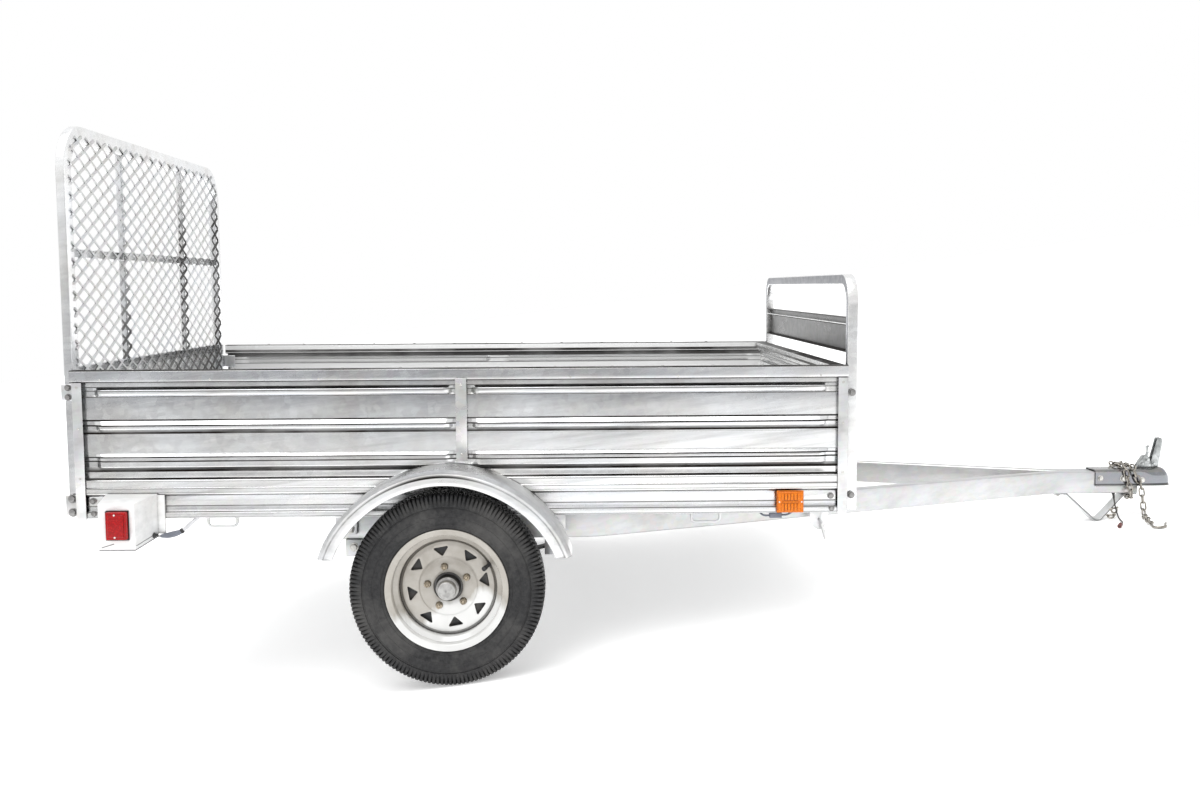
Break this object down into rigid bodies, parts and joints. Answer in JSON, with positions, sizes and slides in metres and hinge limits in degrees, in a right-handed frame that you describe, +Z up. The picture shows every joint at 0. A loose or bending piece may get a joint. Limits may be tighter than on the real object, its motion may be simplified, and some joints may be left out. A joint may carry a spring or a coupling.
{
  "type": "utility trailer",
  "caption": "Galvanised tilt-bed utility trailer with ribbed steel sides, a tall mesh ramp gate, a front hoop and a single sprung axle.",
  "frame": {"origin": "on the ground, under the middle of the trailer's length and width", "axes": "+X forward to the hitch, +Y to the trailer's left, +Z up. The trailer stands parked, pitched 7.1 degrees nose down on its wheels and tongue stand."},
  "size_m": [3.4647, 1.917, 1.6716],
  "materials": {
    "galvanised_steel": "galvanised, bright, with faint spangle",
    "spring_steel": "black satin",
    "zinc_plate": "zinc plated",
    "wheel_paint": "off-white satin paint",
    "tyre_rubber": "matt black",
    "red_lens": "red lens",
    "amber_lens": "amber lens",
    "lead_jacket": "matt dark grey jacket",
    "plug_plastic": "dark red brown"
  },
  "bodies": {
    "chassis": {"chassis_rail_right": "galvanised_steel", "leaf_spring_right": "spring_steel", "chassis_rail_left": "galvanised_steel", "leaf_spring_left": "spring_steel", "axle_beam": "galvanised_steel", "chassis_crossmember_rear": "galvanised_steel", "chassis_crossmember_front": "galvanised_steel", "coupler": "galvanised_steel", "tongue_stand": "galvanised_steel", "coupler_latch": "zinc_plate", "safety_chain": "zinc_plate", "wiring_lead": "lead_jacket", "lead_plug": "plug_plastic"},
    "bed": {"bed_side_rail_right": "galvanised_steel", "side_panel_right": "galvanised_steel", "top_rail_right": "galvanised_steel", "corner_post_front_right": "galvanised_steel", "corner_post_rear_right": "galvanised_steel", "mid_stake_right": "galvanised_steel", "fender_right": "galvanised_steel", "lamp_bracket_right": "galvanised_steel", "tie_down_front_right": "galvanised_steel", "tie_down_rear_right": "galvanised_steel", "tilt_bracket_right": "galvanised_steel", "latch_bracket_right": "galvanised_steel", "tail_lamp_right": "red_lens", "side_marker_right": "amber_lens", "bed_side_rail_left": "galvanised_steel", "side_panel_left": "galvanised_steel", "top_rail_left": "galvanised_steel", "corner_post_front_left": "galvanised_steel", "corner_post_rear_left": "galvanised_steel", "mid_stake_left": "galvanised_steel", "fender_left": "galvanised_steel", "lamp_bracket_left": "galvanised_steel", "tie_down_front_left": "galvanised_steel", "tie_down_rear_left": "galvanised_steel", "tilt_bracket_left": "galvanised_steel", "latch_bracket_left": "galvanised_steel", "tail_lamp_left": "red_lens", "side_marker_left": "amber_lens", "bed_floor": "galvanised_steel", "rear_sill": "galvanised_steel", "front_sill": "galvanised_steel", "floor_crossmember_1": "galvanised_steel", "floor_crossmember_2": "galvanised_steel", "floor_crossmember_3": "galvanised_steel", "floor_crossmember_4": "galvanised_steel", "front_panel": "galvanised_steel", "front_top_rail": "galvanised_steel", "front_hoop": "galvanised_steel"},
    "ramp_gate": {"gate_frame": "galvanised_steel", "gate_panel": "galvanised_steel", "gate_mesh": "galvanised_steel"},
    "wheel_right": {"tyre_right": "tyre_rubber", "wheel_rim_right": "wheel_paint", "wheel_hub_right": "zinc_plate"},
    "wheel_left": {"tyre_left": "tyre_rubber", "wheel_rim_left": "wheel_paint", "wheel_hub_left": "zinc_plate"}
  },
  "joints": [
    {"name": "bed_tilt", "type": "hinge", "parent": "chassis", "child": "bed", "pos_m": [-0.9539, 0, 0.4354], "axis": [0, -1, 0], "range_deg": [0, 28]},
    {"name": "gate_hinge", "type": "hinge", "parent": "bed", "child": "ramp_gate", "pos_m": [-1.7095, 0, 0.6081], "axis": [0, -1, 0], "range_deg": [0, 116]},
    {"name": "wheel_right_spin", "type": "hinge", "parent": "chassis", "child": "wheel_right", "pos_m": [-0.6776, -0.883, 0.2665], "axis": [0, 1, 0], "continuous": true},
    {"name": "wheel_left_spin", "type": "hinge", "parent": "chassis", "child": "wheel_left", "pos_m": [-0.6776, 0.883, 0.2665], "axis": [0, 1, 0], "continuous": true}
  ]
}
